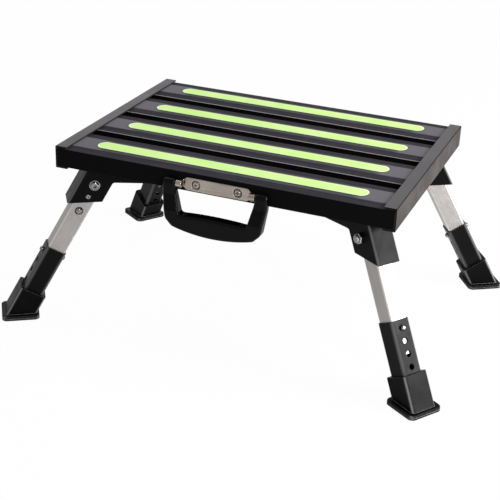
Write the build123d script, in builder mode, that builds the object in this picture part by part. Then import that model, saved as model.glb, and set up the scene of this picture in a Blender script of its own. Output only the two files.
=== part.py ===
from build123d import *
import os
from math import cos, radians, sin

# Platform of four hollow slats held between two channel rails, in millimetres
deck_length = 457.0
deck_width = 330.0
step_height = 243.5
rail_sheet = 2.0
rail_lip = 16.2
rail_bend = 1.2
slat_count = 4
slat_width = 69.0
slat_depth = 26.0
slat_wall = 1.8
slat_rib = 1.6
slat_flat = 35.0
slat_ramp = 1.6
slat_step = 0.9
slat_fall = 0.6
slat_edge = 0.9

# Glow tape on the flat of each slat
tape_inset = 44.5
tape_width = 25.0
tape_thickness = 0.5

# Rivets that hold the slats on the lower lips of the rails
rivet_radius = 2.0
rivet_head_radius = 3.6
rivet_head_height = 1.4
rivet_head_round = 1.1
rivet_tail = 2.5
fastener_gap = 0.05

# Leg pivots and leg direction
pivot_inset_x = 36.5
pivot_inset_y = 33.4
pivot_drop = 54.0
leg_tilt = 29.1
leg_splay = 33.8

# Inner leg tube
tube_side = 25.0
tube_wall = 1.6
tube_corner = 3.0
tube_above = 11.0
tube_tail = 32.5

# Outer sleeve with its row of holes
slide_gap = 0.35
sleeve_wall = 1.45
hole_pitch = 16.25
hole_count = 4
hole_radius = 3.75
button_at = 117.5
sleeve_lead = 10.5

# Snap clip that locks the sleeve
snap_radius = 3.4
snap_proud = 4.2
snap_dome = 2.6
clip_gap = 0.1
clip_sheet = 0.8
clip_width = 9.0
snap_spring = 36.0
snap_foot = 9.0

# Rubber foot
boot_wall = 4.1
boot_corner = 4.2
boot_round = 0.7
boot_fit = 0.05
boot_grip = 26.5
sole_depth = 16.0
base_half_out = 25.0
base_half_side = 25.0
base_shift = -2.3
base_corner = 7.0
base_thickness = 6.0
base_round = 1.6
groove_height = 1.0
groove_depth = 0.7
groove_at = 2.2

# Folded sheet bracket
bracket_sheet = 2.3
nest_gap = 0.7
bracket_bend = 3.0
web_at = 18.1
cheek_drop = 23.8
cheek_back = 19.8
strip_above = 2.6
strip_fall = 6.0
strip_round = 4.0
strip_reach = 118.0

# Pivot bolt, nut and spacers
bolt_radius = 4.0
run_fit = 0.05
bolt_flange_radius = 7.2
bolt_flange_height = 1.2
bolt_flange_round = 0.5
bolt_head_radius = 5.9
bolt_head_height = 4.2
bolt_head_round = 2.4
socket_flats = 4.8
socket_depth = 2.4
nut_flats = 13.0
nut_height = 5.6
nut_chamfer = 0.7
collar_radius = 5.2
collar_height = 2.4
collar_round = 0.7
bolt_end = 0.6
spacer_radius = 8.0
washer_gap = 0.1

# Leaf spring with the lock pin, and its release button
lock_at = 18.0
lock_radius = 3.5
lock_gap = 0.35
lock_proud = 0.9
lock_dome = 1.4
lock_centre = 1.1
lock_centre_depth = 1.0
lock_spring = 42.0
lock_tip = 5.0
lock_heel = 20.0
release_at = 43.0
release_radius = 4.8
release_gap = 0.5
release_proud = 1.6
release_round = 3.0
release_collar = 1.3
release_collar_radius = 6.4
release_sink = 0.7

# Screws up through the bracket into the slats
screw_radius = 2.2
screw_head_radius = 4.4
screw_head_height = 2.4
screw_head_round = 1.0
screw_tail = 2.0
screw_start = 14.0
screw_middle = 47.0
screw_margin = 10.0
cross_width = 1.1
cross_length = 5.0
cross_depth = 1.2

# Handle plate with rolled tongues
plate_half = 41.0
plate_height = 17.0
plate_sheet = 3.0
plate_ease = 0.9
plate_round = 5.0
plate_drop = 17.2
axis_out = 6.5
tongue_radius = 4.6
tongue_start = 45.0
tongue_sheet = 3.0
seam_turn = 45.0
seam_width = 1.0
seam_depth = 1.0
eye_radius = 2.6
pin_radius = 3.2
pin_length = 13.0
plate_screw_x = 28.0
plate_screw_radius = 2.0
plate_screw_head = 4.1
plate_screw_height = 2.3
plate_screw_round = 1.1
plate_screw_length = 9.0
dimple_radius = 6.2
dimple_depth = 2.0
dimple_slope = 40.0

# Swinging handle
ear_inner = 53.0
ear_outer = 70.0
ear_radius = 6.0
ear_gap = 0.4
arm_front = 11.0
arm_straight = 13.0
grip_at = 34.0
opening_half = 45.5
opening_drop = 38.5
opening_bow = 1.8
corner_half = 64.5
corner_drop = 46.0
heel_half = 55.0
heel_drop = 55.5
grip_bottom = 63.0
corner_round = 11.0
opening_round = 4.0
handle_round = 3.6
notch_at = 38.5
notch_drop = 39.0
notch_width = 3.4

# Heights and fits worked out from the sizes above
slat_top_z = step_height - rail_sheet
slat_bottom_z = slat_top_z - slat_depth
rail_bottom_z = slat_bottom_z - rail_sheet
slat_pitch = (deck_width - slat_width) / (slat_count - 1)
slat_length = deck_length - 2 * rail_sheet
tape_length = deck_length - 2 * tape_inset
pivot_x = deck_length / 2 - pivot_inset_x
pivot_y = deck_width / 2 - pivot_inset_y
pivot_z = step_height - pivot_drop
tilt = radians(leg_tilt)
splay = radians(leg_splay)
tube_half = tube_side / 2
tube_inner = tube_half - tube_wall
tube_below = button_at + tube_tail
sleeve_inner = tube_half + slide_gap
sleeve_half = sleeve_inner + sleeve_wall
sleeve_top = button_at - sleeve_lead
ground_at = pivot_z / cos(tilt)
sleeve_end = ground_at - sole_depth
boot_top = sleeve_end - boot_grip
boot_inner = sleeve_half + boot_fit
boot_half = boot_inner + boot_wall
foot_out = pivot_z * sin(tilt) / cos(tilt) + base_shift
cheek_inner = sleeve_half + nest_gap
cheek_outer = cheek_inner + bracket_sheet
bracket_top = slat_bottom_z - pivot_z
screw_places = (-screw_start, -screw_middle, screw_margin - strip_reach)
lock_arm = tube_inner - clip_gap - release_collar
snap_arm = tube_inner - clip_gap
front_y = -deck_width / 2
axis_y = front_y - axis_out
axis_z = step_height - plate_drop


class Corner:
    """Planes through the leg pivot of one corner."""

    def __init__(self, side_x, side_y):
        up = Vector(0, 0, 1)
        out = Vector(side_x * cos(splay), side_y * sin(splay), 0)
        right = Vector(-out.Y, out.X, 0)
        down_leg = out * sin(tilt) - up * cos(tilt)
        outer = out * cos(tilt) + up * sin(tilt)
        pivot = Vector(side_x * pivot_x, side_y * pivot_y, pivot_z)
        # Local z runs up the leg, x out of its outer face and y to its right
        self.leg = Plane(pivot, x_dir=outer, z_dir=-down_leg)
        # Local z runs to the right, x out of the outer face and y down the leg
        self.across = Plane(pivot, x_dir=outer, z_dir=right)
        # Local z runs out of the outer face, x to the right and y up the leg
        self.face = Plane(pivot, x_dir=right, z_dir=outer)
        # Local x runs outward along the diagonal and y upward
        self.side = Plane(pivot, x_dir=out, z_dir=-right)
        # Level planes on the floor and under the slats, x outward along the diagonal
        self.floor = Plane((pivot.X, pivot.Y, 0), x_dir=out, z_dir=up)
        self.deck = Plane((pivot.X, pivot.Y, slat_bottom_z), x_dir=out, z_dir=up)


corners = {
    "front_left": Corner(-1, -1),
    "front_right": Corner(1, -1),
    "rear_left": Corner(-1, 1),
    "rear_right": Corner(1, 1),
}
slat_centres = [front_y + slat_width / 2 + index * slat_pitch for index in range(slat_count)]
rivet_x = deck_length / 2 - rail_lip / 2
front_plane = Plane((0, front_y, axis_z), x_dir=(1, 0, 0), z_dir=(0, -1, 0))
axis_front = Plane((0, axis_y, axis_z), x_dir=(1, 0, 0), z_dir=(0, -1, 0))
axis_side = Plane((0, axis_y, axis_z), x_dir=(0, 1, 0), z_dir=(1, 0, 0))


def deck_slat(centre_y):
    """One hollow extruded slat with a raised flat and lower shoulders."""
    half = slat_width / 2
    flat = slat_flat / 2
    shoulder_in = slat_depth - slat_step
    shoulder_out = shoulder_in - slat_fall
    cell_height = shoulder_out - 2 * slat_wall
    middle_cell = slat_flat - slat_rib
    edge_cell = half - slat_wall - flat - slat_rib / 2
    edge_middle = half - slat_wall - edge_cell / 2
    end = Plane((-slat_length / 2, centre_y, slat_bottom_z), x_dir=(0, 1, 0), z_dir=(1, 0, 0))
    with BuildPart() as slat:
        with BuildSketch(end) as section:
            with BuildLine():
                Polyline(
                    (-half, 0),
                    (half, 0),
                    (half, shoulder_out),
                    (flat + slat_ramp, shoulder_in),
                    (flat, slat_depth),
                    (-flat, slat_depth),
                    (-flat - slat_ramp, shoulder_in),
                    (-half, shoulder_out),
                    close=True,
                )
            make_face()
            arrises = section.vertices().group_by(Axis.Y)
            fillet(arrises[0] + arrises[1], slat_edge)
            with Locations((0, slat_wall + cell_height / 2)):
                Rectangle(middle_cell, cell_height, mode=Mode.SUBTRACT)
            with Locations(
                (-edge_middle, slat_wall + cell_height / 2), (edge_middle, slat_wall + cell_height / 2)
            ):
                Rectangle(edge_cell, cell_height, mode=Mode.SUBTRACT)
        extrude(amount=slat_length)
        with BuildSketch(Plane((0, centre_y, slat_bottom_z))):
            with Locations((-rivet_x, 0), (rivet_x, 0)):
                Circle(rivet_radius + fastener_gap)
        extrude(amount=slat_wall + rivet_tail, mode=Mode.SUBTRACT)
        for corner in corners.values():
            with BuildSketch(corner.deck):
                with Locations(*[(place, 0) for place in screw_places]):
                    Circle(screw_radius + fastener_gap)
            extrude(amount=slat_wall + screw_tail + fastener_gap, mode=Mode.SUBTRACT)
        if centre_y == slat_centres[0]:
            with BuildSketch(front_plane):
                with Locations((-plate_screw_x, 0), (plate_screw_x, 0)):
                    Circle(plate_screw_radius + fastener_gap)
            extrude(amount=-plate_screw_length, mode=Mode.SUBTRACT)
    return slat


def glow_tape(centre_y):
    """Round-ended strip of tape that lies on a slat's flat."""
    with BuildPart() as tape:
        with BuildSketch(Plane((0, centre_y, slat_top_z))):
            SlotOverall(tape_length, tape_width)
        extrude(amount=tape_thickness)
    return tape


def end_rail(side_x):
    """Channel that holds the slat ends, open towards the middle."""
    end = Plane((0, 0, rail_bottom_z), x_dir=(side_x, 0, 0), z_dir=(0, -side_x, 0))
    height = step_height - rail_bottom_z
    outer = deck_length / 2
    with BuildPart() as rail:
        with BuildSketch(end) as section:
            with Locations((outer - rail_lip / 2, height / 2)):
                Rectangle(rail_lip, height)
            fillet(section.vertices().group_by(Axis.X)[-1], rail_bend)
            with Locations((outer - rail_sheet - rail_lip / 2, height / 2)):
                Rectangle(rail_lip, slat_depth, mode=Mode.SUBTRACT)
        extrude(amount=deck_width / 2, both=True)
        with BuildSketch(Plane((side_x * rivet_x, 0, rail_bottom_z))):
            with Locations(*[(0, centre) for centre in slat_centres]):
                Circle(rivet_radius + fastener_gap)
        extrude(amount=rail_sheet, mode=Mode.SUBTRACT)
    return rail


def rail_rivets():
    """Domed rivets from below through the rail lips into the slats."""
    places = [(side * rivet_x, centre) for side in (-1, 1) for centre in slat_centres]
    with BuildPart() as rivets:
        with BuildSketch(Plane((0, 0, rail_bottom_z))):
            with Locations(*places):
                Circle(rivet_head_radius)
        extrude(amount=-rivet_head_height)
        fillet(rivets.edges().group_by(Axis.Z)[0], rivet_head_round)
        with BuildSketch(Plane((0, 0, rail_bottom_z))):
            with Locations(*places):
                Circle(rivet_radius)
        extrude(amount=rail_sheet + slat_wall + rivet_tail)
    return rivets


def leg_bracket(corner):
    """Folded channel with an outer web, two cheeks and strips for the folded leg."""
    web_outer = web_at + bracket_sheet

    def at_height(distance, height):
        """Outward place of a line parallel to the leg at a given height."""
        return (distance - height * sin(tilt)) / cos(tilt)

    throat = (at_height(-cheek_back, strip_above), strip_above)
    ceiling = bracket_top - bracket_sheet
    cut_floor = -2 * cheek_drop
    with BuildPart() as bracket:
        with BuildSketch(corner.side) as outline:
            with BuildLine():
                Polyline(
                    (at_height(web_outer, bracket_top), bracket_top),
                    (at_height(web_outer, -cheek_drop), -cheek_drop),
                    (at_height(-cheek_back, -cheek_drop), -cheek_drop),
                    throat,
                    (-strip_reach, strip_above - strip_fall),
                    (-strip_reach, bracket_top),
                    close=True,
                )
            make_face()
            fillet(outline.vertices().sort_by_distance(throat)[0], strip_round)
        extrude(amount=cheek_outer, both=True)
        web_edges = bracket.faces().sort_by(Axis(corner.leg.origin, corner.leg.x_dir))[-1].edges()
        fillet(web_edges.filter_by(Axis(corner.leg.origin, corner.leg.z_dir)), bracket_bend)
        roof_edges = bracket.faces().sort_by(Axis.Z)[-1].edges()
        fillet(roof_edges.filter_by(Axis(corner.side.origin, corner.side.x_dir)), bracket_bend)
        with BuildSketch(corner.side):
            with BuildLine():
                Polyline(
                    (at_height(web_at, ceiling), ceiling),
                    (at_height(web_at, cut_floor), cut_floor),
                    (-2 * strip_reach, cut_floor),
                    (-2 * strip_reach, ceiling),
                    close=True,
                )
            make_face()
        extrude(amount=cheek_inner, both=True, mode=Mode.SUBTRACT)
        with BuildSketch(corner.across):
            Circle(bolt_radius + run_fit)
        extrude(amount=2 * cheek_outer, both=True, mode=Mode.SUBTRACT)
        with BuildSketch(corner.across):
            with Locations((0, lock_at)):
                Circle(lock_radius + lock_gap)
        extrude(amount=2 * cheek_outer, mode=Mode.SUBTRACT)
        with BuildSketch(corner.deck):
            with Locations(*[(place, 0) for place in screw_places]):
                Circle(screw_radius + fastener_gap)
        extrude(amount=-2 * bracket_sheet, mode=Mode.SUBTRACT)
    return bracket


def bracket_screws():
    """Cross-head screws up through every bracket into the slats."""
    seats = [corner.deck.offset(-bracket_sheet) for corner in corners.values()]
    places = [(place, 0) for place in screw_places]
    with BuildPart() as screws:
        with BuildSketch(*seats):
            with Locations(*places):
                Circle(screw_head_radius)
        extrude(amount=-screw_head_height)
        fillet(screws.edges().group_by(Axis.Z)[0], screw_head_round)
        with BuildSketch(*[seat.offset(-screw_head_height) for seat in seats]):
            with Locations(*places):
                Rectangle(cross_length, cross_width)
                Rectangle(cross_width, cross_length)
        extrude(amount=cross_depth, mode=Mode.SUBTRACT)
        with BuildSketch(*seats):
            with Locations(*places):
                Circle(screw_radius)
        extrude(amount=bracket_sheet + slat_wall + screw_tail)
    return screws


def pivot_bolt(corner):
    """Flanged button-head bolt across the bracket, with a hexagon socket."""
    outward = Axis(corner.across.origin, corner.across.z_dir)
    with BuildPart() as bolt:
        with BuildSketch(corner.across.offset(cheek_outer)):
            Circle(bolt_flange_radius)
        extrude(amount=bolt_flange_height)
        fillet(bolt.faces().sort_by(outward)[-1].edges(), bolt_flange_round)
        with BuildSketch(corner.across.offset(cheek_outer)):
            Circle(bolt_head_radius)
        extrude(amount=bolt_head_height)
        fillet(bolt.faces().sort_by(outward)[-1].edges(), bolt_head_round)
        with BuildSketch(corner.across.offset(cheek_outer + bolt_head_height - socket_depth)):
            RegularPolygon(socket_flats / 2, 6, major_radius=False)
        extrude(amount=2 * socket_depth, mode=Mode.SUBTRACT)
        with BuildSketch(corner.across.offset(cheek_outer)):
            Circle(bolt_radius)
        extrude(amount=-(2 * cheek_outer + nut_height + collar_height + bolt_end))
    return bolt


def pivot_nut(corner):
    """Locking nut with a plain collar on the far side of the bracket."""
    inward = Axis(corner.across.origin, corner.across.z_dir)
    with BuildPart() as nut:
        with BuildSketch(corner.across.offset(-cheek_outer)):
            RegularPolygon(nut_flats / 2, 6, major_radius=False)
        extrude(amount=-nut_height)
        chamfer(nut.faces().sort_by(inward)[0].edges(), nut_chamfer)
        with BuildSketch(corner.across.offset(-cheek_outer - nut_height)):
            Circle(collar_radius)
        extrude(amount=-collar_height)
        fillet(nut.faces().sort_by(inward)[0].edges(), collar_round)
        with BuildSketch(corner.across):
            Circle(bolt_radius + fastener_gap)
        extrude(amount=-2 * cheek_outer - nut_height, mode=Mode.SUBTRACT)
    return nut


def pivot_spacers(corner):
    """Washers on the cheeks that leave the tube a small running gap."""
    with BuildPart() as spacers:
        for side in (-1, 1):
            with BuildSketch(corner.across.offset(side * cheek_inner)):
                Circle(spacer_radius)
                Circle(bolt_radius + fastener_gap, mode=Mode.SUBTRACT)
            extrude(amount=-side * (cheek_inner - tube_half - washer_gap))
    return spacers


def leg_tube(corner):
    """Square inner tube with holes for the pivot, the lock and the snap clip."""
    with BuildPart() as tube:
        with BuildSketch(corner.leg.offset(-tube_below)):
            RectangleRounded(tube_side, tube_side, tube_corner)
            RectangleRounded(
                2 * tube_inner, 2 * tube_inner, tube_corner - tube_wall, mode=Mode.SUBTRACT
            )
        extrude(amount=tube_below + tube_above)
        with BuildSketch(corner.across):
            Circle(bolt_radius + run_fit)
        extrude(amount=tube_side, both=True, mode=Mode.SUBTRACT)
        with BuildSketch(corner.across):
            with Locations((0, lock_at)):
                Circle(lock_radius + lock_gap)
            with Locations((0, release_at)):
                Circle(release_radius + release_gap)
        extrude(amount=tube_side, mode=Mode.SUBTRACT)
        with BuildSketch(corner.across.offset(tube_half)):
            with Locations((0, release_at)):
                Circle(release_radius + release_gap + release_sink)
        extrude(amount=-release_sink, taper=45, mode=Mode.SUBTRACT)
        with BuildSketch(corner.face):
            with Locations((0, -button_at)):
                Circle(hole_radius)
        extrude(amount=tube_side, both=True, mode=Mode.SUBTRACT)
    return tube


def leg_sleeve(corner):
    """Square outer sleeve with a row of holes through both faces."""
    with BuildPart() as sleeve:
        with BuildSketch(corner.leg.offset(-sleeve_end)):
            RectangleRounded(2 * sleeve_half, 2 * sleeve_half, tube_corner + slide_gap + sleeve_wall)
            RectangleRounded(
                2 * sleeve_inner, 2 * sleeve_inner, tube_corner + slide_gap, mode=Mode.SUBTRACT
            )
        extrude(amount=sleeve_end - sleeve_top)
        with BuildSketch(corner.face):
            with Locations(*[(0, -button_at - index * hole_pitch) for index in range(hole_count)]):
                Circle(hole_radius)
        extrude(amount=2 * sleeve_half, both=True, mode=Mode.SUBTRACT)
    return sleeve


def snap_clip(corner):
    """Bent spring strip with a domed button at each end."""
    bend_at = button_at - snap_spring
    arm_length = snap_spring + snap_foot
    outward = Axis(corner.face.origin, corner.face.z_dir)
    reach = sleeve_half + snap_proud
    with BuildPart() as clip:
        with BuildSketch(corner.face):
            with Locations((0, -button_at)):
                Circle(snap_radius)
        extrude(amount=reach, both=True)
        ends = clip.faces().filter_by(GeomType.PLANE).sort_by(outward)
        fillet(ends[0].edges() + ends[-1].edges(), snap_dome)
        with BuildSketch(corner.face):
            with Locations((0, -button_at)):
                Circle(2 * snap_radius)
        extrude(amount=snap_arm - clip_sheet, both=True, mode=Mode.SUBTRACT)
        with BuildSketch(corner.across):
            with Locations((0, bend_at)):
                Circle(snap_arm)
                Circle(snap_arm - clip_sheet, mode=Mode.SUBTRACT)
            with Locations((0, bend_at + snap_arm)):
                Rectangle(3 * snap_arm, 2 * snap_arm, mode=Mode.SUBTRACT)
            with Locations(
                (snap_arm - clip_sheet / 2, bend_at + arm_length / 2),
                (-snap_arm + clip_sheet / 2, bend_at + arm_length / 2),
            ):
                Rectangle(clip_sheet, arm_length)
        extrude(amount=clip_width / 2, both=True)
    return clip


def lock_clip(corner):
    """Bent leaf spring with the lock pin that holds the leg unfolded."""
    bend_at = lock_at + lock_spring
    arm_length = lock_spring + lock_tip
    outward = Axis(corner.across.origin, corner.across.z_dir)
    with BuildPart() as clip:
        with BuildSketch(corner.across.offset(lock_arm - clip_sheet)):
            with Locations((0, lock_at)):
                Circle(lock_radius)
        extrude(amount=cheek_outer + lock_proud - lock_arm + clip_sheet)
        fillet(clip.faces().sort_by(outward)[-1].edges(), lock_dome)
        with BuildSketch(corner.across.offset(cheek_outer + lock_proud)):
            with Locations((0, lock_at)):
                Circle(lock_centre)
        extrude(amount=-lock_centre_depth, mode=Mode.SUBTRACT)
        with BuildSketch(corner.face):
            with Locations((0, -bend_at)):
                Circle(lock_arm)
                Circle(lock_arm - clip_sheet, mode=Mode.SUBTRACT)
            with Locations((0, -bend_at + lock_arm)):
                Rectangle(3 * lock_arm, 2 * lock_arm, mode=Mode.SUBTRACT)
            with Locations((lock_arm - clip_sheet / 2, -bend_at + arm_length / 2)):
                Rectangle(clip_sheet, arm_length)
            with Locations((-lock_arm + clip_sheet / 2, -bend_at + lock_heel / 2)):
                Rectangle(clip_sheet, lock_heel)
        extrude(amount=clip_width / 2, both=True)
    return clip


def release_button(corner):
    """Collared push button that bears on the leaf spring."""
    outward = Axis(corner.across.origin, corner.across.z_dir)
    with BuildPart() as button:
        with BuildSketch(corner.across.offset(lock_arm)):
            with Locations((0, release_at)):
                Circle(release_collar_radius)
        extrude(amount=release_collar)
        with BuildSketch(corner.across.offset(lock_arm)):
            with Locations((0, release_at)):
                Circle(release_radius)
        extrude(amount=tube_half + release_proud - lock_arm)
        fillet(button.faces().sort_by(outward)[-1].edges(), release_round)
    return button


def rubber_foot(corner):
    """Boot over the sleeve's end, with a level grooved base."""
    drop = ground_at + 2 * boot_half
    up_leg = Axis(corner.leg.origin, corner.leg.z_dir)
    with BuildPart() as foot:
        with BuildSketch(corner.floor):
            with Locations((foot_out, 0)):
                RectangleRounded(2 * base_half_out, 2 * base_half_side, base_corner)
        extrude(amount=base_thickness)
        fillet(foot.edges().group_by(Axis.Z)[-1], base_round)
        with BuildSketch(corner.floor.offset(groove_at)):
            with Locations((foot_out, 0)):
                RectangleRounded(3 * base_half_out, 3 * base_half_side, base_corner)
                RectangleRounded(
                    2 * (base_half_out - groove_depth),
                    2 * (base_half_side - groove_depth),
                    base_corner - groove_depth,
                    mode=Mode.SUBTRACT,
                )
        extrude(amount=groove_height, mode=Mode.SUBTRACT)
        with BuildSketch(corner.leg.offset(-drop)):
            RectangleRounded(2 * boot_half, 2 * boot_half, boot_corner)
        extrude(amount=drop - boot_top)
        fillet(foot.faces().sort_by(up_leg)[-1].edges(), boot_round)
        split(bisect_by=corner.floor, keep=Keep.TOP)
        with BuildSketch(corner.leg.offset(-sleeve_end)):
            RectangleRounded(
                2 * boot_inner, 2 * boot_inner, tube_corner + slide_gap + sleeve_wall + boot_fit
            )
        extrude(amount=2 * boot_grip, mode=Mode.SUBTRACT)
    return foot


def handle_plate():
    """Stamped plate on the front slat, with a rolled tongue and pin at each end."""
    half_height = plate_height / 2
    joggle = tongue_start + tongue_sheet
    seam = (-tongue_radius * cos(radians(seam_turn)), -tongue_radius * sin(radians(seam_turn)))
    with BuildPart() as plate:
        with BuildSketch(front_plane) as outline:
            with BuildLine():
                Polyline(
                    (-joggle, -tongue_radius),
                    (-tongue_start, -tongue_radius),
                    (-plate_half, -half_height),
                    (plate_half, -half_height),
                    (tongue_start, -tongue_radius),
                    (joggle, -tongue_radius),
                    (joggle, tongue_radius),
                    (tongue_start, tongue_radius),
                    (plate_half, half_height),
                    (-plate_half, half_height),
                    (-tongue_start, tongue_radius),
                    (-joggle, tongue_radius),
                    close=True,
                )
            make_face()
            across = outline.vertices().group_by(Axis.X)
            fillet(across[1] + across[2] + across[-3] + across[-2], plate_round)
        extrude(amount=plate_sheet)
        fillet(plate.edges().group_by(Axis.Y)[0], plate_ease)
        for side in (-1, 1):
            with BuildSketch(front_plane):
                with Locations((side * (tongue_start + tongue_sheet / 2), 0)):
                    Rectangle(tongue_sheet, 2 * tongue_radius)
            extrude(amount=axis_out)
            with BuildSketch(axis_side.offset(side * tongue_start)):
                Circle(tongue_radius)
            extrude(amount=side * (ear_inner - ear_gap - tongue_start))
            with BuildSketch(axis_side.offset(side * tongue_start)):
                Circle(eye_radius)
            extrude(amount=side * tongue_sheet, mode=Mode.SUBTRACT)
            with BuildSketch(axis_side.offset(side * joggle)):
                with Locations(seam):
                    Rectangle(2 * seam_depth, seam_width, rotation=seam_turn)
            extrude(amount=side * (ear_inner - joggle), mode=Mode.SUBTRACT)
            with BuildSketch(axis_side.offset(side * joggle)):
                Circle(pin_radius)
            extrude(amount=side * (ear_inner + pin_length - joggle))
        with BuildSketch(front_plane):
            with Locations((-plate_screw_x, 0), (plate_screw_x, 0)):
                Circle(plate_screw_radius + fastener_gap)
        extrude(amount=plate_sheet, mode=Mode.SUBTRACT)
        with BuildSketch(front_plane.offset(plate_sheet)):
            with Locations((-plate_screw_x, 0), (plate_screw_x, 0)):
                Circle(dimple_radius)
        extrude(amount=-dimple_depth, taper=dimple_slope, mode=Mode.SUBTRACT)
    return plate


def plate_screws():
    """Cross-head screws that hold the handle plate to the front slat."""
    places = ((-plate_screw_x, 0), (plate_screw_x, 0))
    seat = front_plane.offset(plate_sheet - dimple_depth)
    with BuildPart() as screws:
        with BuildSketch(seat):
            with Locations(*places):
                Circle(plate_screw_head)
        extrude(amount=plate_screw_height)
        fillet(screws.edges().group_by(Axis.Y)[0], plate_screw_round)
        with BuildSketch(seat.offset(plate_screw_height - cross_depth)):
            with Locations(*places):
                Rectangle(cross_length, cross_width)
                Rectangle(cross_width, cross_length)
        extrude(amount=2 * cross_depth, mode=Mode.SUBTRACT)
        with BuildSketch(seat):
            with Locations(*places):
                Circle(plate_screw_radius)
        extrude(amount=-plate_screw_length)
    return screws


def swing_handle():
    """Moulded handle with two ears on the plate's pins and a bowed grip."""
    with BuildPart() as handle:
        with BuildSketch(axis_front) as outline:
            with BuildLine():
                Polyline(
                    (heel_half, -heel_drop),
                    (corner_half, -corner_drop),
                    (ear_outer, -arm_straight),
                    (ear_outer, 2 * ear_radius),
                    (-ear_outer, 2 * ear_radius),
                    (-ear_outer, -arm_straight),
                    (-corner_half, -corner_drop),
                    (-heel_half, -heel_drop),
                )
                ThreePointArc(
                    (-heel_half, -heel_drop), (0, -grip_bottom), (heel_half, -heel_drop)
                )
            make_face()
            low = outline.vertices().group_by(Axis.Y)
            fillet(low[0] + low[1], corner_round)
        extrude(amount=2 * arm_front, both=True)
        with BuildSketch(axis_front) as opening:
            with BuildLine():
                Polyline(
                    (opening_half, -opening_drop),
                    (ear_inner, -ear_radius),
                    (ear_inner, 3 * ear_radius),
                    (-ear_inner, 3 * ear_radius),
                    (-ear_inner, -ear_radius),
                    (-opening_half, -opening_drop),
                )
                ThreePointArc(
                    (-opening_half, -opening_drop),
                    (0, opening_bow - opening_drop),
                    (opening_half, -opening_drop),
                )
            make_face()
            fillet(opening.vertices().group_by(Axis.Y)[0], opening_round)
        extrude(amount=3 * arm_front, both=True, mode=Mode.SUBTRACT)
        with BuildSketch(axis_side):
            Circle(ear_radius)
            with BuildLine():
                Polyline(
                    (ear_radius, 0),
                    (-ear_radius, 0),
                    (-ear_radius, -arm_straight),
                    (-arm_front, -grip_at),
                    (-arm_front, -2 * grip_bottom),
                    (ear_radius, -2 * grip_bottom),
                    close=True,
                )
            make_face()
        extrude(amount=2 * ear_outer, both=True, mode=Mode.INTERSECT)
        fillet(handle.edges(), handle_round)
        for side in (-1, 1):
            with BuildSketch(axis_side.offset(side * ear_inner)):
                Circle(pin_radius + run_fit)
            extrude(amount=side * (pin_length + ear_gap), mode=Mode.SUBTRACT)
        with BuildSketch(axis_front):
            with Locations((-notch_at, -notch_drop), (notch_at, -notch_drop)):
                Rectangle(notch_width, opening_drop, align=(Align.CENTER, Align.MIN))
        extrude(amount=2 * arm_front, both=True, mode=Mode.SUBTRACT)
    return handle


def save(built, name):
    """Write one piece under its own name."""
    built.part.label = name
    export_step(built.part, f"parts/{name}.step")


os.makedirs("parts", exist_ok=True)
for number, centre in enumerate(slat_centres, start=1):
    save(deck_slat(centre), f"deck_slat_{number}")
    save(glow_tape(centre), f"glow_tape_{number}")
save(end_rail(-1), "left_end_rail")
save(end_rail(1), "right_end_rail")
save(rail_rivets(), "rail_rivets")
save(bracket_screws(), "bracket_screws")
save(handle_plate(), "handle_plate")
save(plate_screws(), "plate_screws")
save(swing_handle(), "swing_handle")
for place, corner in corners.items():
    save(leg_bracket(corner), f"{place}_bracket")
    save(pivot_bolt(corner), f"{place}_pivot_bolt")
    save(pivot_nut(corner), f"{place}_pivot_nut")
    save(pivot_spacers(corner), f"{place}_spacers")
    save(leg_tube(corner), f"{place}_leg_tube")
    save(leg_sleeve(corner), f"{place}_sleeve")
    save(snap_clip(corner), f"{place}_snap_clip")
    save(lock_clip(corner), f"{place}_lock_clip")
    save(release_button(corner), f"{place}_release_button")
    save(rubber_foot(corner), f"{place}_foot")
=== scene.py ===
"""Studio scene of a folding platform step with telescopic legs and a carry handle."""

import logging
import math
from dataclasses import dataclass
from enum import Enum
from typing import Optional, Sequence, Union

import bmesh
import bpy
from mathutils import Matrix, Vector

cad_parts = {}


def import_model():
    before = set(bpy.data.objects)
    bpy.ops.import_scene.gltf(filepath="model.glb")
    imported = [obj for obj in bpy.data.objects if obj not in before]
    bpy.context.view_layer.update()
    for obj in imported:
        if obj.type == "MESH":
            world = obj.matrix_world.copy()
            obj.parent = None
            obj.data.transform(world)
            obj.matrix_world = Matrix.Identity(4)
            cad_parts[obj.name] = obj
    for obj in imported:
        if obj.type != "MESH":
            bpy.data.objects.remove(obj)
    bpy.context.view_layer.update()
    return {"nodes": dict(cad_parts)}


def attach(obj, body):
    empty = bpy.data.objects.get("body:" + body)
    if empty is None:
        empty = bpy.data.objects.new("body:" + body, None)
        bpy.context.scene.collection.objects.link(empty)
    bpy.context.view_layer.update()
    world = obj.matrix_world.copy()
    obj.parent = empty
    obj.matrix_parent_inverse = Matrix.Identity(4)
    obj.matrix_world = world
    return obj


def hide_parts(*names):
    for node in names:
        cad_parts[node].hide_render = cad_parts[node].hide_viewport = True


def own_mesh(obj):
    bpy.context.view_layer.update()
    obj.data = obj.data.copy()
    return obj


LOG = logging.getLogger("platform_step")
IMAGE_SIDE_PX = 500

Color = tuple[float, float, float, float]
Triple = tuple[float, float, float]
Feed = Union[bpy.types.NodeSocket, float, Sequence[float]]

WHITE: Color = (1.0, 1.0, 1.0, 1.0)


class Corner(Enum):
    """The four leg corners, with the signs of their places along X and Y."""

    FRONT_LEFT = ("front_left", -1, -1)
    FRONT_RIGHT = ("front_right", 1, -1)
    REAR_LEFT = ("rear_left", -1, 1)
    REAR_RIGHT = ("rear_right", 1, 1)

    @property
    def label(self) -> str:
        """Start of the names of this corner's nodes and bodies."""
        return self.value[0]

    @property
    def signs(self) -> tuple[int, int]:
        """Signs of the corner's place along X and along Y."""
        return self.value[1], self.value[2]


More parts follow.
